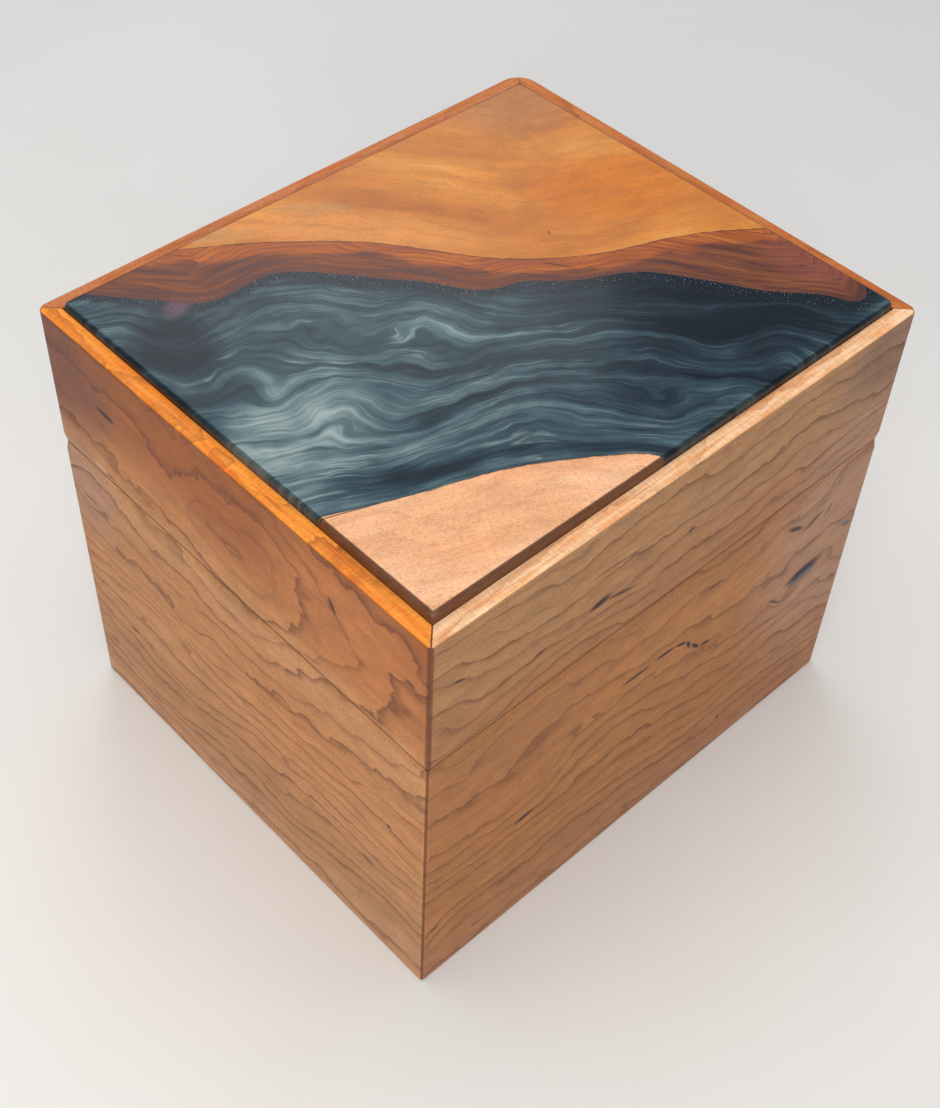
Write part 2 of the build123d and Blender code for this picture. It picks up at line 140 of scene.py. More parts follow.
# %% The bench
class Bench:
    """Lays and wires nodes in one node tree."""

    def __init__(self, tree):
        self.tree = tree

    def fill(self, socket, value):
        """Wires a socket to another, or sets it to a plain value."""
        if isinstance(value, bpy.types.NodeSocket):
            self.tree.links.new(value, socket)
        else:
            socket.default_value = value

    def lay(self, kind, values=None, **settings):
        """A node with its settings made and its inputs filled."""
        node = self.tree.nodes.new(kind if kind.startswith("Node") else "ShaderNode" + kind)
        for name, value in settings.items():
            setattr(node, name, value)
        for key, value in (values or {}).items():
            self.fill(node.inputs[key], value)
        return node

    def math(self, operation, *values, clamp=False):
        """One Math node: POWER, MINIMUM, FLOOR and so on."""
        return self.lay("Math", dict(enumerate(values)), operation=operation, use_clamp=clamp).outputs[0]

    def plus(self, first, second):
        return self.math("ADD", first, second)

    def minus(self, first, second):
        return self.math("SUBTRACT", first, second)

    def times(self, first, second):
        return self.math("MULTIPLY", first, second)

    def over(self, first, second):
        return self.math("DIVIDE", first, second)

    def size(self, value):
        """A value without its sign."""
        return self.math("ABSOLUTE", value)

    def step(self, value, low, high, to_low=0.0, to_high=1.0, kind="SMOOTHSTEP"):
        """Where a value stands between two others, eased at both ends, from to_low to to_high."""
        values = {"Value": value, "From Min": low, "From Max": high, "To Min": to_low, "To Max": to_high}
        return self.lay("MapRange", values, interpolation_type=kind).outputs["Result"]

    def even(self, value, low, high, to_low=0.0, to_high=1.0):
        """Where a value stands between two others, without easing."""
        return self.step(value, low, high, to_low, to_high, "LINEAR")

    def blend(self, amount, below, above, kind="MIX"):
        """One colour over another."""
        values = {0: amount, 6: below, 7: above}
        return self.lay("Mix", values, data_type="RGBA", blend_type=kind).outputs[2]

    def dyed(self, colour, dye):
        """A colour multiplied by another."""
        return self.blend(1.0, colour, dye, "MULTIPLY")

    def grey(self, value):
        """A value as a colour, for use as a dye."""
        return self.lay("CombineColor", {0: value, 1: value, 2: value}).outputs[0]

    def ramp(self, value, stops):
        """A colour ramp from (place, colour) stops."""
        node = self.lay("ValToRGB", {"Fac": value})
        band = node.color_ramp
        while len(band.elements) < len(stops):
            band.elements.new(0.5)
        for element, (spot, colour) in zip(band.elements, stops):
            element.position = spot
            element.color = colour
        return node.outputs["Color"]

    def noise(self, coordinates, pace=1.0, detail=2.0, roughness=0.5):
        """Soft noise. pace is the number of bumps for each unit of a coordinate, or of each of the three.
        A plain number among the coordinates isn't scaled. It only picks another slice of the noise."""
        paces = pace if isinstance(pace, tuple) else (pace, pace, pace)
        spots = [self.times(one, each) if isinstance(one, bpy.types.NodeSocket) else one
                 for one, each in zip(coordinates, paces)]
        values = {"Vector": self.place(*spots), "Scale": 1.0, "Detail": detail, "Roughness": roughness}
        return self.lay("TexNoise", values).outputs["Fac"]

    def place(self, x, y, z):
        """Three coordinates as one vector."""
        return self.lay("CombineXYZ", {0: x, 1: y, 2: z}).outputs[0]

    def curve(self, value, points):
        """A smooth curve through (x, y) points, all within 0 to 1."""
        node = self.lay("FloatCurve", {"Value": value})
        line = node.mapping.curves[0]
        line.points[0].location, line.points[-1].location = points[0], points[-1]
        for spot in points[1:-1]:
            line.points.new(*spot)
        node.mapping.extend = "HORIZONTAL"
        node.mapping.update()
        return node.outputs[0]

    def group(self, tree, values):
        """A copy of a group. It hands back the outputs, which go by name."""
        node = self.lay("Group", node_tree=tree)
        for key, value in values.items():
            self.fill(node.inputs[key], value)
        return node.outputs

    def millimetres(self):
        """The place on the piece in millimetres, as x, y and z."""
        spot = self.lay("TexCoord").outputs["Object"]
        larger = self.lay("VectorMath", {0: spot, "Scale": 1 / MM}, operation="SCALE").outputs[0]
        return self.lay("SeparateXYZ", {0: larger}).outputs


print("bench tools:", [name for name in vars(Bench) if not name.startswith("_")])


# %% Colours, groups and materials to lay on the bench
def srgb(red, green, blue):
    """A colour as it is seen, 0 to 255, as the linear colour that a shader takes."""
    parts = [value / 255 for value in (red, green, blue)]
    linear = [p / 12.92 if p <= 0.04045 else ((p + 0.055) / 1.055) ** 2.4 for p in parts]
    return (*linear, 1.0)


def palette(*stops):
    """Ramp stops from (place, seen colour) pairs."""
    return [(spot, srgb(*colour)) for spot, colour in stops]


def new_group(name, inputs, outputs):
    """An empty node group with named sockets. It hands back its bench, its inputs and its end node."""
    tree = bpy.data.node_groups.new(name, "ShaderNodeTree")
    for label, kind in inputs:
        tree.interface.new_socket(label, in_out="INPUT", socket_type="NodeSocket" + kind)
    for label in outputs:
        tree.interface.new_socket(label, in_out="OUTPUT", socket_type="NodeSocketFloat")
    bench = Bench(tree)
    return bench, bench.lay("NodeGroupInput").outputs, bench.lay("NodeGroupOutput").inputs


def new_material(name):
    """A material with an empty bench and its Principled shader already wired to the output."""
    material = bpy.data.materials.new(name)
    material.use_nodes = True
    material.node_tree.nodes.clear()
    bench = Bench(material.node_tree)
    shader = bench.lay("BsdfPrincipled")
    bench.fill(bench.lay("OutputMaterial").inputs["Surface"], shader.outputs[0])
    return material, bench, shader.inputs


def raise_grain(bench, shader, height, distance, strength=0.6):
    """Bump in metres, from a height of 0 to 1."""
    values = {"Height": height, "Distance": distance, "Strength": strength}
    bench.fill(shader["Normal"], bench.lay("Bump", values).outputs[0])


print("mid grey as a shader takes it:", [round(part, 3) for part in srgb(128, 128, 128)])

# %% [markdown]
# ## Growth lines
# A board's face shows its yearly rings as lines. What matters is that they run on: across the saw cut
# between base and lid, and over the arris onto the rim. So each outer board gets one smooth number,
# the ring count, which rises from the bottom edge to the top. Each guide below is a growth line at its
# own height along the board, and between two guides the count rises evenly.

# %% Guides for the front and left boards: a ring count, then (along, height) points
FRONT_HALF = 100.0
FRONT_GUIDES = [
    (0, [(-100, -4), (100, -6)]),
    (3, [(-100, 23), (-85, 29), (-60, 26), (-20, 25), (0, 23), (30, 18), (60, 18), (100, 16)]),
    (6, [(-100, 49), (-60, 44.5), (-30, 44), (0, 41), (35, 34), (60, 36), (75, 33), (100, 27)]),
    (8, [(-100, 59), (-50, 57), (-40, 62), (-25, 64.5), (-12, 64), (0, 59.5), (30, 51.5), (75, 50.5),
         (100, 42)]),
    (10, [(-100, 72), (-50, 71), (-42, 78), (-28, 80.5), (-12, 81.5), (2, 79), (10, 75), (25, 69),
          (40, 67), (55, 67), (65, 62), (85, 65), (100, 62)]),
    (12, [(-100, 107), (-95, 105), (-80, 107), (-60, 112), (-40, 113), (-22, 105), (-8, 102), (10, 106),
          (30, 106), (55, 109), (80, 115), (100, 117)]),
    (14, [(-100, 124), (-92, 122), (-80, 122.5), (-60, 127), (-37, 126), (-28, 124), (-18, 119), (0, 118),
          (30, 116.5), (60, 118), (80, 124), (100, 128)]),
    (17, [(-100, 155), (-90, 152), (-80, 145), (-60, 142), (-48, 138), (-30, 140), (-10, 143), (20, 141),
          (60, 141.5), (100, 139)]),
    (19, [(-100, 163), (-84, 160), (-60, 157), (-30, 158), (20, 156), (60, 158), (100, 153)]),
    (22, [(-100, 178), (-50, 176), (0, 177), (100, 174)]),
]
LEFT_HALF = 88.0
LEFT_GUIDES = [
    (0, [(-88, -3), (88, -5)]),
    (2, [(-88, 24), (-60, 23), (-40, 18), (0, 13), (30, 10), (88, 12)]),
    (4, [(-88, 35), (-40, 30), (-25, 25), (-5, 27.5), (25, 23), (40, 18), (55, 17), (88, 26)]),
    (6, [(-88, 48), (-60, 44), (-25, 38), (-18, 33), (3, 35), (18, 30.5), (42, 33.5), (55, 30), (80, 37)]),
    (8, [(-88, 58), (-20, 53.5), (0, 50), (10, 48), (30, 40), (45, 41.5), (65, 47), (88, 52)]),
    (10, [(-88, 65), (-20, 64), (0, 61), (35, 66.5), (50, 66), (88, 62)]),
    (12, [(-88, 88), (-40, 79.5), (0, 74), (20, 72), (70, 74), (88, 76)]),
    (14, [(-88, 96), (-45, 89), (-15, 83), (0, 83), (12, 85.5), (20, 82), (35, 80.5), (42, 83.5), (52, 82),
          (88, 88)]),
]
print("guides:", len(FRONT_GUIDES), "on the front,", len(LEFT_GUIDES), "on the left")

# %% The ring count between guides
GUIDE_LOW, GUIDE_SPAN = -10.0, 200.0
BOARD_POINT = [("Along", "Float"), ("Height", "Float")]


def along_board(bench, along, half, points, low, span):
    """A smooth profile along a board, through (along, value) points with values from low over a span."""
    spots = [((a + half) / (2 * half), (value - low) / span) for a, value in points]
    return bench.curve(bench.even(along, -half, half), spots)


def ring_count(bench, given, half, guides):
    """Counts rings up a board from its guides. It hands back the count and the top guide's height."""
    lines = []
    for count, points in guides:
        line = along_board(bench, given["Along"], half, points, GUIDE_LOW, GUIDE_SPAN)
        lines.append((count, bench.math("MULTIPLY_ADD", line, GUIDE_SPAN, GUIDE_LOW)))
    total = 0.0
    for (low_count, low), (high_count, high) in zip(lines, lines[1:]):
        total = bench.plus(total, bench.even(given["Height"], low, high, 0.0, high_count - low_count))
    return total, lines[-1][1]


bench, given, answer = new_group("front_rings", BOARD_POINT, ["Rings"])
counted, _ = ring_count(bench, given, FRONT_HALF, FRONT_GUIDES)
bench.fill(answer["Rings"], counted)
front_rings = bench.tree
print("ring count:", front_rings.name, len(front_rings.nodes), "nodes")

# %% [markdown]
# The left board's lid was cut near the heart of a wavy tree, so its lines close into loops. A low hill
# on top of the count does that: it is highest on the heart line where HILL is 0, and falls off all round.

# %% The left board's hill of closed lines
HILL = [(-88, 0.42), (-70, 0.36), (-53, 0.30), (-34, 0.20), (-22, 0.10), (-13, 0.03), (-5, 0.0), (8, 0.03),
        (17, 0.10), (25, 0.14), (50, 0.15), (88, 0.16)]
HEART = [(-88, 0.66), (-50, 0.64), (-34, 0.62), (-5, 0.56), (17, 0.57), (40, 0.60), (60, 0.68), (88, 0.66)]
HEART_LOW, HEART_SPAN = 112.0, 50.0
HILL_SPAN = 10.0  # rings that a HILL value of 1 takes away
HILL_RINGS = 6.0  # rings that the hill adds at its top
RING_PITCH = 10.0  # height of one ring on the hill
HILL_FOOT = 14.0  # height over which the hill sets in, above the top guide

bench, given, answer = new_group("left_rings", BOARD_POINT, ["Rings"])
counted, top_line = ring_count(bench, given, LEFT_HALF, LEFT_GUIDES)
sideways = bench.times(along_board(bench, given["Along"], LEFT_HALF, HILL, 0.0, 1.0), HILL_SPAN)
heart = along_board(bench, given["Along"], LEFT_HALF, HEART, 0.0, 1.0)
heart = bench.math("MULTIPLY_ADD", heart, HEART_SPAN, HEART_LOW)
upwards = bench.times(bench.minus(given["Height"], heart), 1 / RING_PITCH)
hill = bench.math("SQRT", bench.plus(bench.times(upwards, upwards), bench.times(sideways, sideways)))
above = bench.step(given["Height"], top_line, bench.plus(top_line, HILL_FOOT))
hill = bench.times(bench.even(hill, 0.0, HILL_RINGS, HILL_RINGS, 0.0), above)
bench.fill(answer["Rings"], bench.plus(counted, hill))
left_rings = bench.tree
print("ring count:", left_rings.name, len(left_rings.nodes), "nodes")

# %% [markdown]
# ## Grain
# Up close a growth line is sharp on its late side and fades on the other, and no two are equally dark.
# Between the lines run fine fibres, and cherry has short dark flecks. All of it lives in one group,
# because every board in the box needs it, each with its own colours.

# %% Grain group
GRAIN_IN = [("Along", "Float"), ("Across", "Float"), ("Depth", "Float"), ("Rings", "Float")]
LINE_SHARPNESS = 6.0
FINE_LINES_A_RING = 3.0
FINE_LINE_START = 0.37
FINE_LINE_STRENGTH = 0.20

bench, given, answer = new_group("wood_grain", GRAIN_IN, ["Line", "Fibre", "Fleck", "Mottle", "Tone"])
inside = (given["Along"], given["Across"], given["Depth"])
waver = bench.noise(inside, (0.03, 0.05, 0.05))
shiver = bench.noise(inside, 0.16)
rings = bench.plus(given["Rings"], bench.even(waver, 0.25, 0.75, -0.5, 0.5))
rings = bench.plus(rings, bench.even(shiver, 0.25, 0.75, -0.13, 0.13))
part = bench.math("FRACT", rings)
year = bench.lay("TexWhiteNoise", {"W": bench.math("FLOOR", rings)}, noise_dimensions="1D").outputs["Value"]
late = bench.times(bench.math("POWER", part, LINE_SHARPNESS), bench.step(part, 0.95, 1.0, 1.5, 0.0))
strength = bench.even(year, 0.1, 0.9, 0.5, 1.0)
broken = bench.noise(inside, (0.03, 0.5, 0.5))
strength = bench.times(strength, bench.step(broken, 0.3, 0.6, 0.6, 1.0))
fine = bench.math("FRACT", bench.math("MULTIPLY_ADD", rings, FINE_LINES_A_RING, FINE_LINE_START))
fine_line = bench.times(bench.math("POWER", fine, LINE_SHARPNESS), FINE_LINE_STRENGTH)
both = bench.math("ADD", bench.times(late, strength), bench.times(fine_line, strength), clamp=True)
bench.fill(answer["Line"], both)
bench.fill(answer["Fibre"], bench.noise(inside, (0.05, 1.5, 1.5), detail=4.0, roughness=0.6))
fleck = bench.noise(inside, (0.9, 3.4, 3.4), detail=1.0)
bench.fill(answer["Fleck"], bench.step(fleck, 0.56, 0.72))
speckle = bench.noise(inside, (1.1, 1.5, 1.5))
blotch = bench.noise(inside, (0.09, 0.2, 0.2), detail=3.0)
bench.fill(answer["Mottle"], bench.plus(bench.times(speckle, 0.5), bench.times(blotch, 0.5)))
bench.fill(answer["Tone"], bench.math("MULTIPLY_ADD", year, 0.5, bench.times(waver, 0.5)))
wood_grain = bench.tree
print("grain:", wood_grain.name, len(wood_grain.nodes), "nodes")

# %% [markdown]
# Knots, cracks and stains come one at a time, so each is a soft oval: a middle, two reaches and a turn.

# %% Soft ovals
OVAL_IN = [("Place", "Vector"), ("Middle", "Vector"), ("Reach", "Vector"), ("Turn", "Float")]

bench, given, answer = new_group("oval_mark", OVAL_IN, ["Mask"])
moved = bench.lay("VectorMath", {0: given["Place"], 1: given["Middle"]}, operation="SUBTRACT").outputs[0]
turning = {"Vector": moved, "Angle": bench.times(given["Turn"], -math.pi / 180)}
turned_place = bench.lay("VectorRotate", turning, rotation_type="Z_AXIS").outputs[0]
shrunk = bench.lay("VectorMath", {0: turned_place, 1: given["Reach"]}, operation="DIVIDE").outputs[0]
far = bench.lay("VectorMath", {0: shrunk}, operation="LENGTH").outputs["Value"]
bench.fill(answer["Mask"], bench.step(far, 0.35, 1.0, 1.0, 0.0))
oval_mark = bench.tree


def marks(bench, spot, ovals):
    """The largest of several soft ovals: (across, up, half length, half width, turn, strength)."""
    most = 0.0
    for across, up, long, wide, angle, strength in ovals:
        values = {"Place": spot, "Middle": (across, up, 0), "Reach": (long, wide, 1), "Turn": angle}
        one = bench.group(oval_mark, values)["Mask"]
        most = bench.math("MAXIMUM", most, bench.times(one, strength))
    return most


def stained(bench, spot, colour, stains):
    """A colour with soft ovals of other colours laid over it, one after another."""
    for oval, stain in stains:
        colour = bench.blend(marks(bench, spot, [oval]), colour, srgb(*stain))
    return colour


print("ovals:", oval_mark.name)

# %% [markdown]
# ## Cherry
# The four outer boards are one plank wrapped round the box, darkened by age and oil and lighter on the
# freshly cut rim, whose very pale front also carries a painted highlight. The height sets the first colour,
# soft marks stain parts of it, then come lines, fibres and flecks, and knots last. Everything is placed by
# the board's own coordinates, so the lid takes its share of the pattern with it when it swings up.

# %% Colours of the cherry, from the bottom edge up
FRONT_COLOURS = [(0, (162, 112, 76)), (40, (166, 110, 60)), (70, (168, 112, 62)), (95, (176, 117, 62)),
                 (114, (164, 110, 64)), (124, (166, 115, 72)), (150, (170, 126, 84)), (171, (170, 126, 84))]
LEFT_COLOURS = [(0, (188, 140, 102)), (30, (176, 126, 84)), (55, (194, 136, 86)), (90, (188, 130, 78)),
                (114, (196, 142, 94)), (126, (192, 130, 78)), (150, (160, 92, 42)), (171, (156, 88, 38))]
LINE_COLOUR = srgb(98, 46, 26)
FLECK_COLOUR = srgb(116, 60, 34)
KNOT_COLOUR = srgb(52, 28, 32)
# End grain and painted shade in the crease down the near corner.
CORNER_GRAIN_AND_SHADE = srgb(78, 34, 22)
RIM_LINE_COLOUR = srgb(150, 78, 30)
RIM_MITRE_COLOUR = srgb(90, 45, 25)
# The rims' own colours; the front rim's pale colour is partly a painted highlight, the sheen that rim
# shows.
RIM_COLOURS_AND_SHEEN = {"front": (255, 213, 172), "left": (255, 163, 60), "back": (204, 128, 74),
               "right": (206, 128, 66)}
WARMER = (1.06, 0.97, 0.88, 1)
DULLER = (0.84, 0.80, 0.78, 1)
RIM_FIBRE = (0.84, 0.62, 0.42, 1)
RIM_PATCH = (0.94, 0.72, 0.52, 1)
RING_TILT = 0.55
print("cherry colours:", len(FRONT_COLOURS) + len(LEFT_COLOURS))


# %% Cherry's face, rim and mitres
def cherry_face(bench, at, grain, stops, knots, stains, seed):
    """The oiled face of a side: colour by height, stains, grain, painted shade in the saw cut's crease, and
    the knots.
    """
    colour = bench.ramp(bench.even(at.up, 0.0, RIM), palette(*[(height / RIM, c) for height, c in stops]))
    colour = stained(bench, at.spot, colour, stains)
    drift = bench.math("MULTIPLY_ADD", at.along, 0.02, seed)
    cloud = bench.noise((drift, at.up, at.depth), (1.0, 0.045, 0.05))
    colour = bench.blend(bench.step(cloud, 0.35, 0.7, 0.0, 0.5), colour, bench.dyed(colour, WARMER))
    dull = bench.step(grain["Tone"], 0.2, 0.8, 0.0, 0.35)
    colour = bench.blend(dull, colour, bench.dyed(colour, DULLER))
    colour = bench.blend(bench.times(grain["Line"], 0.74), colour, LINE_COLOUR)
    fibre = bench.even(grain["Fibre"], 0.3, 0.7, 0.86, 1.12)
    mottle = bench.even(grain["Mottle"], 0.3, 0.7, 0.72, 1.26)
    colour = bench.dyed(colour, bench.grey(bench.times(fibre, mottle)))
    colour = bench.blend(bench.times(grain["Fleck"], 0.42), colour, FLECK_COLOUR)
    # Painted shade: a dark band in the crease along the saw cut.
    seam_crease_shade = bench.step(bench.size(bench.minus(at.up, SEAM)), 0.15, 0.6, 0.65, 0.0)
    colour = bench.blend(seam_crease_shade, colour, FLECK_COLOUR)
    return bench.blend(marks(bench, at.spot, knots), colour, KNOT_COLOUR)


def cherry_rim(bench, at, grain, rim_colour, seed):
    """The freshly cut rim, paler than the face, patchy and finely ribbed."""
    pale = srgb(*rim_colour)
    fresh = bench.blend(bench.step(grain["Fibre"], 0.35, 0.65, 0.0, 0.8), pale, bench.dyed(pale, RIM_FIBRE))
    drift = bench.math("MULTIPLY_ADD", at.along, 0.05, seed)
    patch = bench.noise((drift, at.depth, 6.0), (1.0, 0.3, 1.0), detail=3.0)
    fresh = bench.blend(bench.step(patch, 0.42, 0.62, 0.0, 0.75), fresh, bench.dyed(fresh, RIM_PATCH))
    rib = bench.noise((at.along, at.depth, 2.0), (1.3, 0.35, 1.0))
    fresh = bench.dyed(fresh, bench.grey(bench.even(rib, 0.35, 0.65, 0.88, 1.08)))
    return bench.blend(bench.times(grain["Line"], 0.7), fresh, RIM_LINE_COLOUR)


def cherry_mitres(bench, side, at, half, rim, colour):
    """The glue lines at a side's ends. The dark crease down the near corner, end grain with painted shade
    in it, is wider above the saw cut.
    """
    from_end = bench.minus(bench.minus(half, bench.size(at.along)), at.depth)
    if side in ("front", "left"):
        near_end = bench.math("LESS_THAN", at.along, 0.0)
        reach = bench.even(at.up, SEAM - 1, SEAM + 1, 0.9, 1.7)
        reach = bench.times(reach, bench.minus(1.0, bench.times(rim, 0.7)))
        # Painted shade with end grain: the dark crease down the near corner.
        corner = bench.times(bench.step(bench.over(from_end, reach), 0.4, 1.0, 0.75, 0.0), near_end)
        colour = bench.blend(corner, colour, CORNER_GRAIN_AND_SHADE)
    rim_mitre = bench.times(rim, bench.step(from_end, 0.1, 0.35, 0.8, 0.0))
    return bench.blend(rim_mitre, colour, RIM_MITRE_COLOUR)


def cherry(side, ring_group, mirrored, stops, knots, stains, seed):
    """Cherry for one side. mirrored turns the pattern end for end, and the seed moves its fine detail."""
    material, bench, shader = new_material("cherry_" + side)
    x, y, z = bench.millimetres()
    along, inward, half, other_half = x, y, HALF_LENGTH, HALF_DEPTH
    if side in ("left", "right"):
        along, inward, half, other_half = y, x, HALF_DEPTH, HALF_LENGTH
    if mirrored:
        along = bench.times(along, -1.0)
    depth = bench.minus(other_half, bench.size(inward))
    at = SimpleNamespace(along=along, up=z, depth=depth, spot=bench.place(along, z, 0.0))
    tilted = bench.minus(z, bench.times(depth, RING_TILT))
    rings = bench.group(ring_group, {"Along": along, "Height": tilted})["Rings"]
    values = {"Along": bench.plus(along, seed), "Across": tilted, "Depth": depth, "Rings": rings}
    grain = bench.group(wood_grain, values)
    rim = bench.step(z, RIM - 0.7, RIM - 0.15)
    face = cherry_face(bench, at, grain, stops, knots, stains, seed)
    colour = bench.blend(rim, face, cherry_rim(bench, at, grain, RIM_COLOURS_AND_SHEEN[side], seed))
    bench.fill(shader["Base Color"], cherry_mitres(bench, side, at, half, rim, colour))
    bench.fill(shader["Roughness"], bench.even(grain["Fibre"], 0.3, 0.7, 0.42, 0.56))
    shader["Specular IOR Level"].default_value = 0.25
    relief = bench.minus(grain["Fibre"], bench.times(bench.plus(grain["Line"], grain["Fleck"]), 0.4))
    raise_grain(bench, shader, relief, 0.00012)
    return material


print("cherry layers:", [layer.__name__ for layer in (cherry_face, cherry_rim, cherry_mitres)])

# %% Knots: (along, up, half length, half width, turn, strength), and stains: (such an oval, colour)
FRONT_KNOTS = [
    (-36, 139.5, 6, 2, 8, 1), (-27, 137, 9, 1.0, -14, 0.8), (-60, 136.5, 3, 0.8, 5, 0.8),
    (2, 143, 2.5, 1.2, 0, 0.8), (-91, 150.5, 3, 0.8, -20, 0.8), (-59, 54.5, 6, 1.6, 4, 0.9),
    (-13, 86.3, 10, 1.1, -2, 0.9), (1, 86.2, 7, 1.2, -5, 1), (9, 84.4, 4.5, 1.1, -24, 1),
    (13, 81, 3.6, 1.1, -68, 1), (17, 77.2, 4.6, 1.1, -48, 1), (22.5, 74.4, 3.6, 1.1, -18, 1),
    (74, 71.5, 12, 4.2, 6, 1), (-30, 152, 16, 0.8, -3, 0.5), (21, 104, 5, 1.0, 0, 0.7),
    (62, 101, 7, 1.6, -28, 0.9), (72, 98, 7, 1.3, 24, 0.8), (80, 98, 4, 0.9, 60, 0.7),
    (-97, 29, 3, 1.0, 0, 0.7), (-78, 10.5, 3, 1.2, 0, 0.5), (-6, 7.5, 3, 1.2, 0, 0.5),
    (41, 17.5, 1.2, 1.2, 0, 0.9), (60, 66, 6, 0.8, -40, 0.8)]
LEFT_KNOTS = [
    (57, 149.5, 6.5, 1.6, 4, 1), (60, 121, 3, 1.2, 0, 0.8), (76, 99, 6, 0.8, 0, 0.6),
    (-49, 154.5, 4, 1.3, 60, 0.9), (-62, 43.5, 4, 2, 0, 0.5), (-22, 54.5, 3, 1.5, 0, 0.5),
    (78, 25, 4, 2, 0, 0.45), (62, 44.5, 3, 1.0, 0, 0.8), (-72, 74, 1.2, 1.2, 0, 0.9)]
FRONT_STAINS = [
    ((92, 90, 62, 90, 0, 0.9), (172, 130, 104)), ((92, 160, 30, 22, 0, 0.9), (134, 103, 82)),
    ((-70, 95, 60, 22, 0, 0.6), (160, 104, 64))]
LEFT_STAINS = [
    ((92, 156, 54, 36, 0, 1.0), (126, 76, 58)), ((82, 105, 30, 34, 0, 0.7), (176, 135, 112)),
    ((-55, 150, 52, 30, 0, 0.8), (190, 120, 66)), ((66, 121, 5, 2.4, 0, 0.8), (214, 172, 128)),
    ((-77, 119, 5, 2.4, 0, 0.7), (206, 158, 112))]
print("knots:", len(FRONT_KNOTS) + len(LEFT_KNOTS), "stains:", len(FRONT_STAINS) + len(LEFT_STAINS))

# %% Cherry on the eight boards
side_cherry = {
    "front": cherry("front", front_rings, False, FRONT_COLOURS, FRONT_KNOTS, FRONT_STAINS, seed=0.0),
    "left": cherry("left", left_rings, False, LEFT_COLOURS, LEFT_KNOTS, LEFT_STAINS, seed=31.0),
    "back": cherry("back", front_rings, True, FRONT_COLOURS, FRONT_KNOTS[:3], [], seed=67.0),
    "right": cherry("right", left_rings, True, LEFT_COLOURS, LEFT_KNOTS[3:6], [], seed=113.0),
}


def dress(material, *names):
    """Gives CAD nodes a material through their own slots."""
    for name in names:
        for slot in nodes[name].material_slots:
            slot.material = material


for side, material in side_cherry.items():
    dress(material, "base_" + side, "lid_" + side)
print("cherry on", 2 * len(side_cherry), "boards")

# %% [markdown]
# ## The river panel's own map
# On the real panel every pattern follows a line: the glue line, the live edge that the resin was poured
# against, and the straight-cut front board. To paint along them, each panel piece needs to know how far
# it is from each line. The lines themselves are read off the pieces' own side walls, and run on a little
# past the panel's edge, so that the corners have a nearest point too.

# %% Lines between the panel's pieces
EDGE_MARGIN_METRES = 0.002
SAME_WALL_METRES = 2e-4
NO_LENGTH_METRES = 1e-5
LINE_PITCH_METRES = 0.0005
LINE_OVERRUN_METRES = 0.03


def inner_corners(name):
    """The plan corners of a panel piece, without those on the panel's outer edge."""
    return {(round(v.co.x, 5), round(v.co.y, 5)) for v in nodes[name].data.vertices
            if abs(v.co.x) < PANEL_REACH_METRES.x - EDGE_MARGIN_METRES
            and abs(v.co.y) < PANEL_REACH_METRES.y - EDGE_MARGIN_METRES}


def shared_corners(first, second):
    """The corners that two pieces share, from left to right, with one more past each end."""
    others = inner_corners(second)
    corners = sorted(p for p in inner_corners(first)
                     if any(abs(p[0] - q[0]) < SAME_WALL_METRES and abs(p[1] - q[1]) < SAME_WALL_METRES
                            for q in others))
    for end, before in ((0, 3), (-1, -4)):
        way = (Vector(corners[end]) - Vector(corners[before])).normalized() * LINE_OVERRUN_METRES
        corners.insert(0 if end == 0 else len(corners), tuple(Vector(corners[end]) + way))
    return corners


def shared_line(first, second):
    """Points along the wall that two pieces share, each with its direction and the run up to it."""
    corners = shared_corners(first, second)
    points, total = [], 0.0
    for (x0, y0), (x1, y1) in zip(corners, corners[1:]):
        length = math.hypot(x1 - x0, y1 - y0)
        if length < NO_LENGTH_METRES:
            continue
        direction = ((x1 - x0) / length, (y1 - y0) / length)
        steps = max(1, int(length / LINE_PITCH_METRES))
        for n in range(steps):
            t = n / steps
            place = Vector((x0 + t * (x1 - x0), y0 + t * (y1 - y0), 0))
            points.append((place, direction, total + t * length))
        total += length
    tree = KDTree(len(points))
    for index, (place, _, _) in enumerate(points):
        tree.insert(place, index)
    tree.balance()
    print(first, "|", second, len(corners), "corners,", round(total / MM), "mm")
    return points, tree


LINES = {
    "glue": shared_line("panel_rear_board", "panel_live_edge"),
    "edge": shared_line("panel_live_edge", "panel_river"),
    "shore": shared_line("panel_river", "panel_front_board"),
}

# %% [markdown]
# Each panel piece is copied, merged and cut into a fine grid. Copying keeps the CAD shape exactly. The
# grid is only there so that the distances, which are stored at the corners of faces, stay true between
# them. Only the rounded arris is shaded smooth, because smooth flats would show the grid.

# %% Panel pieces with their distances
GRID_METRES = 0.004
MERGE_METRES = 1e-5
ON_GRID_METRES = 1e-6
FLAT_ANGLE = 0.002
ARRIS_LOW, ARRIS_HIGH = 0.02, 0.9995


def cut_grid(bm, low, high):
    """Cuts a mesh along X and along Y at every line of the grid."""
    for axis in (0, 1):
        spot = math.ceil(low[axis] / GRID_METRES) * GRID_METRES
        while spot < high[axis]:
            point, normal = Vector((0, 0, 0)), Vector((0, 0, 0))
            point[axis], normal[axis] = spot, 1.0
            bmesh.ops.bisect_plane(bm, geom=bm.verts[:] + bm.edges[:] + bm.faces[:], dist=ON_GRID_METRES,
                                   plane_co=point, plane_no=normal)
            spot += GRID_METRES


def note_distances(bm):
    """Stores how far each corner is from each line, and how far along it, in millimetres."""
    for name, (points, tree) in LINES.items():
        away = bm.verts.layers.float.new(name + "_mm")
        run = bm.verts.layers.float.new(name + "_run")
        for vert in bm.verts:
            _, index, _ = tree.find((vert.co.x, vert.co.y, 0))
            place, direction, total = points[index]
            dx, dy = vert.co.x - place.x, vert.co.y - place.y
            side = direction[0] * dy - direction[1] * dx
            vert[away] = math.copysign(math.hypot(dx, dy), side) / MM
            vert[run] = (total + dx * direction[0] + dy * direction[1]) / MM


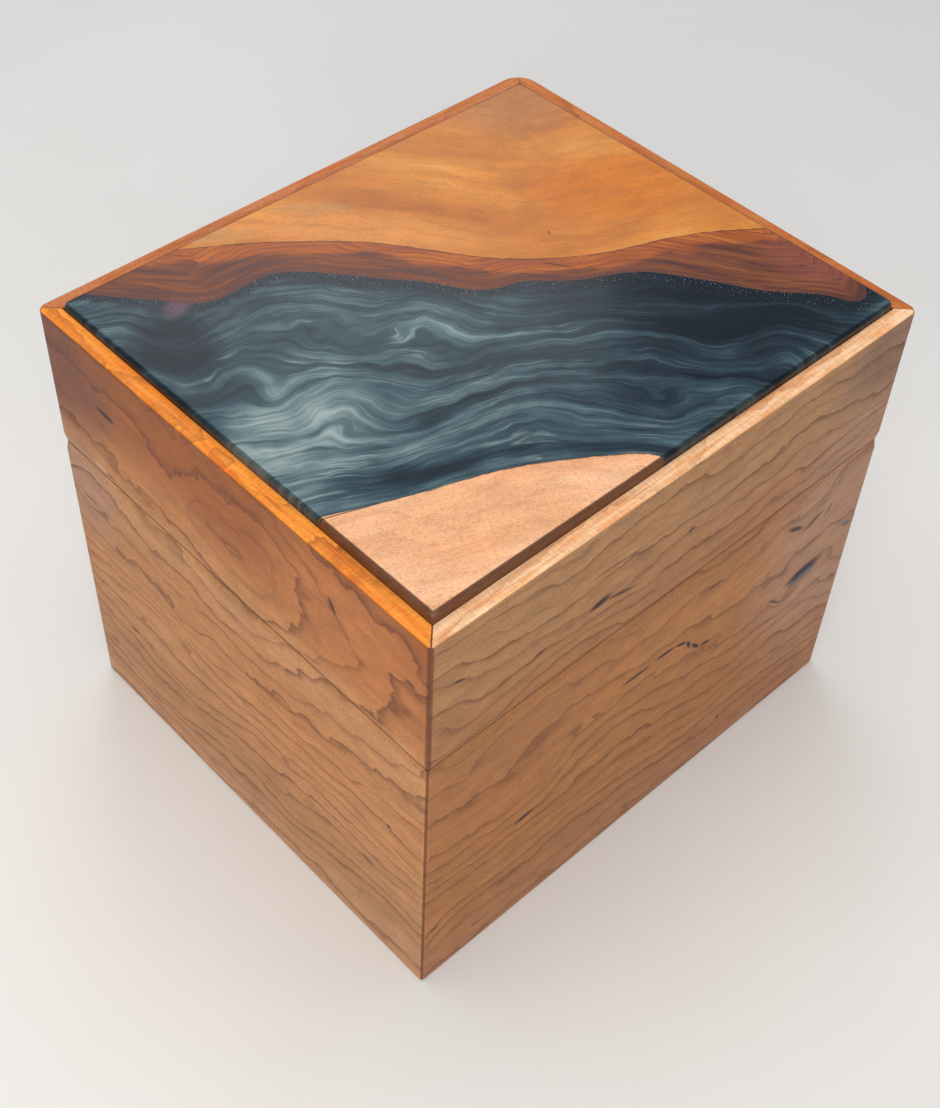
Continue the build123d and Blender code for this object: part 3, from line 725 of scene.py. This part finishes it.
def panel_piece(node_name):
    """A copy of a panel node on a fine grid, with its distances. It stands in for the node."""
    bm = bmesh.new()
    bm.from_mesh(nodes[node_name].data)
    bmesh.ops.remove_doubles(bm, verts=bm.verts, dist=MERGE_METRES)
    bmesh.ops.dissolve_limit(bm, angle_limit=FLAT_ANGLE, verts=bm.verts, edges=bm.edges)
    low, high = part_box(node_name)
    cut_grid(bm, low, high)
    bmesh.ops.triangulate(bm, faces=bm.faces)
    note_distances(bm)
    mesh = bpy.data.meshes.new(node_name + "_fine")
    bm.to_mesh(mesh)
    bm.free()
    for face in mesh.polygons:
        face.use_smooth = ARRIS_LOW < face.normal.z < ARRIS_HIGH
    piece = bpy.data.objects.new(node_name + "_fine", mesh)
    bpy.context.scene.collection.objects.link(piece)
    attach(piece, "lid")
    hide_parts(node_name)
    print(piece.name, len(mesh.polygons), "faces")
    return piece


rear_board = panel_piece("panel_rear_board")
live_edge = panel_piece("panel_live_edge")
river = panel_piece("panel_river")
front_board = panel_piece("panel_front_board")

# %% [markdown]
# ## Panel boards
# The rear board is golden and quiet, with wide soft bands that run with the glue line. The front board
# is paler and peppered with short flecks. The panel's upright edge is painted nearly black, on the boards
# and on the resin alike: painted shade in the gap round the panel, on an edge that is darker too.

# %% Shared ends of the panel's finishes
# Painted shade: the dye that darkens the panel's upright edge in the gap round the panel.
WALL_SHADE_DYE = (0.13, 0.085, 0.06, 1)


def attribute(bench, name):
    """A number that panel_piece stored at the corners of faces."""
    return bench.lay("Attribute", attribute_name=name).outputs["Fac"]


def painted_wall_shade(bench, x, y, colour, amount):
    """Paints shade on the panel's upright edge and the foot of its rounded arris, an edge that is darker
    too.
    """
    from_end = bench.minus(PANEL_REACH_METRES.x / MM, bench.size(x))
    from_side = bench.minus(PANEL_REACH_METRES.y / MM, bench.size(y))
    wall = bench.step(bench.math("MINIMUM", from_end, from_side), 0.75, 1.3, amount, 0.0)
    return bench.blend(wall, colour, bench.dyed(colour, WALL_SHADE_DYE))


print("walls dyed with:", WALL_SHADE_DYE[:3])


# %% The two light boards
def panel_board(name, near, bands, stops, line_colour, fleck_amount, stains):
    """A panel board whose rings follow one of the lines. near is that line's name, and bands the number
    of rings in a millimetre."""
    material, bench, shader = new_material(name)
    x, y, z = bench.millimetres()
    away, run = attribute(bench, near + "_mm"), attribute(bench, near + "_run")
    sway = bench.noise((x, y, 3.1), (0.02, 0.03, 1.0))
    rings = bench.math("MULTIPLY_ADD", away, bands, bench.times(sway, 3.0))
    values = {"Along": run, "Across": away, "Depth": bench.minus(RIM, z), "Rings": rings}
    grain = bench.group(wood_grain, values)
    cloud = bench.noise((run, away, 1.7), (0.018, 0.07, 1.0), detail=3.0)
    colour = bench.ramp(bench.even(cloud, 0.28, 0.72), stops)
    colour = stained(bench, bench.place(x, y, 0.0), colour, stains)
    colour = bench.blend(bench.times(grain["Line"], 0.35), colour, line_colour)
    fibre = bench.even(grain["Fibre"], 0.3, 0.7, 0.94, 1.05)
    mottle = bench.even(grain["Mottle"], 0.3, 0.7, 0.78, 1.18)
    colour = bench.dyed(colour, bench.grey(bench.times(fibre, mottle)))
    colour = bench.blend(bench.times(grain["Fleck"], fleck_amount), colour, line_colour)
    glue_line = bench.step(bench.size(away), 0.12, 0.35, 0.85, 0.0)
    colour = bench.blend(glue_line, colour, srgb(92, 52, 30))
    # Painted shade on the panel's upright edge.
    bench.fill(shader["Base Color"], painted_wall_shade(bench, x, y, colour, 0.97))
    bench.fill(shader["Roughness"], bench.even(grain["Fibre"], 0.3, 0.7, 0.38, 0.50))
    shader["Specular IOR Level"].default_value = 0.4
    raise_grain(bench, shader, bench.minus(grain["Fibre"], bench.times(grain["Fleck"], 0.5)), 0.00008)
    return material


rear_stops = palette((0.0, (184, 106, 38)), (0.35, (202, 122, 44)), (0.7, (213, 134, 50)),
                     (1.0, (226, 154, 72)))
rear_stains = [
    ((75, 18, 40, 26, -30, 0.8), (206, 114, 18)), ((92, 78, 42, 30, 20, 0.85), (176, 116, 66)),
    ((-42, 80, 20, 6, -35, 0.45), (190, 150, 98)), ((-8, 70, 16, 5, -40, 0.4), (192, 150, 100)),
    ((-6, 52, 62, 13, -48, 0.6), (226, 150, 78)), ((40, 12, 1.6, 0.6, 60, 0.8), (120, 66, 34))]
front_stops = palette((0.0, (232, 166, 116)), (0.4, (238, 176, 128)), (0.75, (244, 188, 144)),
                      (1.0, (247, 196, 156)))
golden = panel_board("golden_panel_wood", "glue", 0.16, rear_stops, srgb(176, 98, 44), 0.12, rear_stains)
rear_board.data.materials.append(golden)
peach = panel_board("peach_panel_wood", "shore", 0.12, front_stops, srgb(188, 112, 70), 0.6, [])
front_board.data.materials.append(peach)
print("boards dressed:", rear_board.name, front_board.name)

# %% [markdown]
# ## Live edge
# The strip between the glue line and the resin is the outside of the tree: bright sapwood first, then
# dark, reddish bark-side wood with a fuzzy lip where the resin met it.

# %% Live edge
LIVE_STAINS = [
    ((48, -12, 11, 5, -35, 0.85), (160, 78, 10)), ((66, -22, 6, 5, -40, 0.8), (158, 76, 14)),
    ((92, -52, 16, 22, 10, 0.6), (146, 74, 62)), ((-70, 58, 12, 6, -30, 0.7), (112, 62, 62))]
LIVE_CRACKS = [(30, -1.5, 8, 0.5, -54, 0.9), (75, -18.5, 4, 0.5, -28, 0.9), (86, -25.5, 5, 0.5, -36, 0.8)]
BARK = palette((0.0, (72, 32, 26)), (0.35, (100, 48, 28)), (0.6, (126, 64, 22)), (1.0, (150, 84, 42)))
SAPWOOD = palette((0.0, (142, 62, 12)), (0.5, (172, 84, 14)), (1.0, (200, 112, 34)))


def live_edge_wood_colour(bench, spot, glue, run, streak):
    """Sapwood for a changing way out from the glue line, then bark-side wood, and stains over both."""
    level = bench.even(streak, 0.3, 0.7)
    sapwood_reach = bench.even(bench.noise((run, 1.0, 4.0), 0.05), 0.3, 0.7, 4.0, 9.5)
    outside = bench.step(bench.over(glue, sapwood_reach), 0.75, 1.15)
    colour = bench.blend(outside, bench.ramp(level, SAPWOOD), bench.ramp(level, BARK))
    return stained(bench, spot, colour, LIVE_STAINS)


def live_edge_finish():
    """The live edge: its wood, grain, fuzzy lip, cracks and glue line."""
    material, bench, shader = new_material("live_edge_wood")
    x, y, z = bench.millimetres()
    spot = bench.place(x, y, 0.0)
    glue, edge = bench.size(attribute(bench, "glue_mm")), bench.size(attribute(bench, "edge_mm"))
    run = attribute(bench, "edge_run")
    sway = bench.noise((x, y, 5.0), 0.05, detail=3.0)
    rings = bench.math("MULTIPLY_ADD", edge, 0.42, bench.times(sway, 3.0))
    values = {"Along": run, "Across": edge, "Depth": bench.minus(RIM, z), "Rings": rings}
    grain = bench.group(wood_grain, values)
    streak = bench.noise((run, edge, 2.0), (0.035, 0.42, 1.0), detail=4.0, roughness=0.6)
    colour = live_edge_wood_colour(bench, spot, glue, run, streak)
    colour = bench.blend(bench.times(grain["Line"], 0.8), colour, srgb(70, 34, 30))
    colour = bench.blend(bench.times(grain["Fleck"], 0.35), colour, srgb(88, 42, 34))
    fuzz = bench.step(bench.noise((x, y, 1.0), 1.1, detail=3.0), 0.40, 0.62)
    lip = bench.times(bench.step(edge, 0.2, 3.2, 1.0, 0.0), fuzz)
    colour = bench.blend(bench.times(lip, 0.85), colour, srgb(66, 40, 46))
    colour = bench.blend(marks(bench, spot, LIVE_CRACKS), colour, srgb(52, 26, 20))
    colour = bench.blend(bench.step(glue, 0.12, 0.4, 0.9, 0.0), colour, srgb(84, 44, 26))
    # Painted shade on the panel's upright edge.
    bench.fill(shader["Base Color"], painted_wall_shade(bench, x, y, colour, 0.8))
    bench.fill(shader["Roughness"], bench.even(streak, 0.3, 0.7, 0.34, 0.5))
    shader["Specular IOR Level"].default_value = 0.42
    raise_grain(bench, shader, bench.minus(grain["Fibre"], bench.times(grain["Line"], 0.5)), 0.00012)
    return material


live_edge.data.materials.append(live_edge_finish())
print("live edge dressed with", live_edge.data.materials[0].name)

# %% [markdown]
# ## Resin
# Pearl powder moves with the resin as it is poured, so the swirls lie along the flow and turn round
# each other. Noise looked up through a second noise gives that. Stretching the place along the river
# first keeps the streaks long. The resin is darkest where it is clear and deep, against the live edge.

# %% The resin's flow and its pearl
RIVER_WIDTH = 62.0
# Places with more pearl; the broad one at the left end is also a painted reflection of the soft light.
PEARL_AND_REFLECTION_BRIGHT = [(-82, -8, 34, 28, 10, 0.12), (-40, -52, 44, 9, -38, 0.05), (-62, 12, 22, 11, -30, 0.07)]
PEARL_THIN = [(-82, 44, 16, 20, 0, 0.12), (32, -22, 36, 15, -30, 0.12), (54, -52, 48, 32, -40, 0.13)]


def river_flow(bench, x, y, edge, shore):
    """Where a point lies in the stream: along it, and across from the live edge, both stirred."""
    sway = bench.noise((x, y, 7.0), 0.018, detail=1.0)
    eddy = bench.noise((x, y, 19.0), 0.045)
    wander = bench.plus(bench.even(sway, 0.25, 0.75, -10.0, 10.0), bench.even(eddy, 0.25, 0.75, -2.6, 2.6))
    wander = bench.times(wander, bench.step(shore, 2.0, 26.0, 0.12, 1.0))
    share = bench.over(edge, bench.plus(bench.plus(edge, shore), 0.01))
    from_shore = bench.times(bench.minus(RIVER_WIDTH, shore), share)
    across = bench.plus(bench.times(edge, bench.minus(1.0, share)), from_shore)
    downstream = bench.minus(bench.times(x, 0.8), bench.times(y, 0.6))
    return bench.plus(downstream, bench.times(wander, 0.5)), bench.plus(across, wander)


def river_pearl(bench, x, y, edge, shore):
    """How much pearl there is, from broad swirls, streaks, silk and smoke. It hands back the first two."""
    run, across = river_flow(bench, x, y, edge, shore)
    swirl = bench.noise((run, across, 3.0), (0.012, 0.095, 1.0), detail=4.0)
    streak = bench.noise((run, across, 9.0), (0.018, 0.32, 1.0), detail=4.0)
    silk = bench.noise((run, across, 5.0), (0.07, 1.3, 1.0), detail=3.0)
    smoke = bench.noise((x, y, 12.0), 0.09, detail=6.0, roughness=0.6)
    pearl = bench.plus(bench.times(swirl, 0.36), bench.times(streak, 0.36))
    pearl = bench.plus(pearl, bench.plus(bench.times(silk, 0.17), bench.times(smoke, 0.11)))
    spot = bench.place(x, y, 0.0)
    # The broad bright place at the left end is more pearl and partly a painted reflection.
    pearl = bench.minus(bench.plus(pearl, marks(bench, spot, PEARL_AND_REFLECTION_BRIGHT)), marks(bench, spot, PEARL_THIN))
    return pearl, swirl, streak


print("river:", RIVER_WIDTH, "mm wide,", len(PEARL_AND_REFLECTION_BRIGHT), "bright and", len(PEARL_THIN), "thin places")

# %% River resin
RESIN = palette((0.0, (18, 28, 40)), (0.28, (34, 50, 62)), (0.48, (54, 76, 86)), (0.66, (80, 104, 110)),
                (0.84, (116, 136, 138)), (1.0, (152, 166, 166)))
PLUM_STAIN = ((-70, 59, 9, 5, 30, 0.75), (104, 70, 82))


def river_finish():
    """The poured resin: pearl, bright threads in it, the clear deep strip and a few bubbles."""
    material, bench, shader = new_material("river_resin")
    x, y, z = bench.millimetres()
    edge, shore = bench.size(attribute(bench, "edge_mm")), bench.size(attribute(bench, "shore_mm"))
    pearl, swirl, streak = river_pearl(bench, x, y, edge, shore)
    colour = bench.ramp(bench.even(pearl, 0.37, 0.68), RESIN)
    thread = bench.step(bench.size(bench.minus(streak, 0.53)), 0.0, 0.03, 1.0, 0.0)
    thread = bench.times(thread, bench.step(bench.noise((x, y, 30.0), 0.05), 0.45, 0.65))
    thread = bench.times(bench.times(thread, 0.5), bench.step(pearl, 0.46, 0.58))
    colour = bench.blend(thread, colour, srgb(160, 176, 176))
    deep_reach = bench.even(bench.noise((x, y, 2.0), 0.06), 0.3, 0.7, 2.5, 9.0)
    deep = bench.step(bench.over(edge, deep_reach), 0.35, 1.1, 0.92, 0.0)
    colour = bench.blend(deep, colour, srgb(16, 27, 39))
    colour = stained(bench, bench.place(x, y, 0.0), colour, [PLUM_STAIN])
    bubble = bench.step(bench.noise((x, y, 1.0), 2.2, detail=0.0), 0.72, 0.80)
    bubble = bench.times(bubble, bench.step(edge, 1.0, 8.0, 0.7, 0.0))
    colour = bench.blend(bubble, colour, srgb(196, 196, 190))
    # Painted shade on the panel's upright edge.
    bench.fill(shader["Base Color"], painted_wall_shade(bench, x, y, colour, 0.7))
    bench.fill(shader["Roughness"], bench.even(swirl, 0.3, 0.7, 0.16, 0.26))
    shader["Specular IOR Level"].default_value = 0.22
    shader["Coat Weight"].default_value = 0.06
    shader["Coat Roughness"].default_value = 0.08
    raise_grain(bench, shader, streak, 0.00003, 0.4)
    return material


river.data.materials.append(river_finish())
print("river dressed with", river.data.materials[0].name)

# %% [markdown]
# ## Inside and underneath
# Nobody sees these until the box is open or turned over, and then they have to hold up: a maple lining,
# a plywood bottom, a walnut lock block, and bought brass and steel parts. They share the grain group,
# with a ring count that is only a distance across the board plus a slow sway.

# %% Plain woods
def plain_wood(name, grain_axis, light, dark, line_colour, spacing, fleck_amount):
    """Straight-grained wood. grain_axis is 0 for grain along X and 1 along Y."""
    material, bench, shader = new_material(name)
    place = bench.millimetres()
    along, side, up = place[grain_axis], place[1 - grain_axis], place[2]
    sway = bench.noise((along, side, up), (0.012, 0.02, 0.03))
    across = bench.plus(side, up)
    rings = bench.plus(bench.times(across, 1 / spacing), bench.times(sway, 5.0))
    values = {"Along": along, "Across": across, "Depth": bench.minus(side, up), "Rings": rings}
    grain = bench.group(wood_grain, values)
    colour = bench.blend(bench.step(grain["Tone"], 0.2, 0.8), srgb(*dark), srgb(*light))
    colour = bench.blend(bench.times(grain["Line"], 0.6), colour, srgb(*line_colour))
    colour = bench.blend(bench.times(grain["Fleck"], fleck_amount), colour, srgb(*line_colour))
    bench.fill(shader["Base Color"], colour)
    bench.fill(shader["Roughness"], bench.even(grain["Fibre"], 0.3, 0.7, 0.45, 0.6))
    raise_grain(bench, shader, grain["Fibre"], 0.0001)
    return material


MAPLE = dict(light=(226, 196, 150), dark=(208, 172, 124), line_colour=(176, 132, 88), spacing=4.0,
             fleck_amount=0.15)
PLYWOOD = dict(light=(204, 166, 118), dark=(188, 146, 100), line_colour=(150, 104, 64), spacing=7.0,
               fleck_amount=0.25)
WALNUT = dict(light=(112, 74, 50), dark=(86, 54, 36), line_colour=(48, 28, 18), spacing=3.0,
              fleck_amount=0.5)
dress(plain_wood("maple_along_x", 0, **MAPLE), "liner_front", "liner_back")
dress(plain_wood("maple_along_y", 1, **MAPLE), "liner_left", "liner_right")
dress(plain_wood("bottom_plywood", 0, **PLYWOOD), "base_bottom")
dress(plain_wood("walnut", 0, **WALNUT), "lock_block")
print("plain woods on:", [name for name in nodes if name.startswith("liner_")], "base_bottom", "lock_block")


# %% Metals and the filler resin
def metal(name, colour, dull, rough, streak_axis):
    """Turned or drawn metal: fine streaks along one axis and a thin dull film in places."""
    material, bench, shader = new_material(name)
    place = bench.millimetres()
    paces = tuple(0.15 if axis == streak_axis else 6.0 for axis in range(3))
    streak = bench.noise(place, paces, detail=3.0)
    film = bench.noise(place, 0.2, detail=4.0)
    colour = bench.blend(bench.step(film, 0.45, 0.7, 0.0, 0.7), srgb(*colour), srgb(*dull))
    colour = bench.blend(bench.step(streak, 0.35, 0.65, 0.0, 0.2), colour, srgb(*dull))
    polish = bench.even(streak, 0.3, 0.7, rough, rough + 0.1)
    roughness = bench.plus(polish, bench.step(film, 0.45, 0.7, 0.0, 0.12))
    bench.fill(shader["Base Color"], colour)
    shader["Metallic"].default_value = 1.0
    bench.fill(shader["Roughness"], roughness)
    raise_grain(bench, shader, streak, 0.00002, 0.5)
    return material


def filler_resin():
    """The dark resin in the front board's voids."""
    material, bench, shader = new_material("void_resin")
    pearl = bench.noise(bench.millimetres(), (0.5, 0.5, 0.9), detail=3.0)
    colour = bench.ramp(pearl, palette((0.3, (12, 30, 38)), (0.6, (22, 58, 68)), (0.8, (60, 104, 108))))
    bench.fill(shader["Base Color"], colour)
    bench.fill(shader["Roughness"], bench.even(pearl, 0.3, 0.7, 0.18, 0.3))
    raise_grain(bench, shader, pearl, 0.00003, 0.4)
    return material


dress(metal("satin_brass", (214, 172, 96), (150, 112, 58), 0.28, 0),
      *[name for name in nodes if name.startswith("hinge_")])
dress(metal("lock_brass", (218, 178, 102), (158, 118, 62), 0.26, 2),
      "lock_tongue", "lock_plug_left", "lock_plug_right")
dress(metal("screw_brass", (206, 164, 90), (140, 104, 54), 0.3, 1),
      *[name for name in nodes if name.endswith("_screws")])
dress(metal("ground_steel", (196, 197, 200), (140, 142, 146), 0.24, 0), "lock_pin_left", "lock_pin_right")
dress(filler_resin(), "void_fills")
print("materials:", len(bpy.data.materials))

# %% [markdown]
# ## Floor
# A plain pale sheet under the box. A trace of mottling keeps it from looking like nothing at all.

# %% Floor
FLOOR_HALF_METRES = 15.0

bm = bmesh.new()
bmesh.ops.create_grid(bm, x_segments=1, y_segments=1, size=FLOOR_HALF_METRES)
floor_mesh = bpy.data.meshes.new("floor")
bm.to_mesh(floor_mesh)
bm.free()
floor = bpy.data.objects.new("floor", floor_mesh)
bpy.context.scene.collection.objects.link(floor)
material, bench, shader = new_material("pale_sheet")
x, y, z = bench.millimetres()
mottle = bench.noise((x, y, 0.0), 0.01, detail=3.0)
bench.fill(shader["Base Color"], bench.blend(mottle, srgb(234, 232, 229), srgb(240, 239, 237)))
shader["Roughness"].default_value = 0.6
floor.data.materials.append(material)
print("floor laid,", 2 * FLOOR_HALF_METRES, "m across")
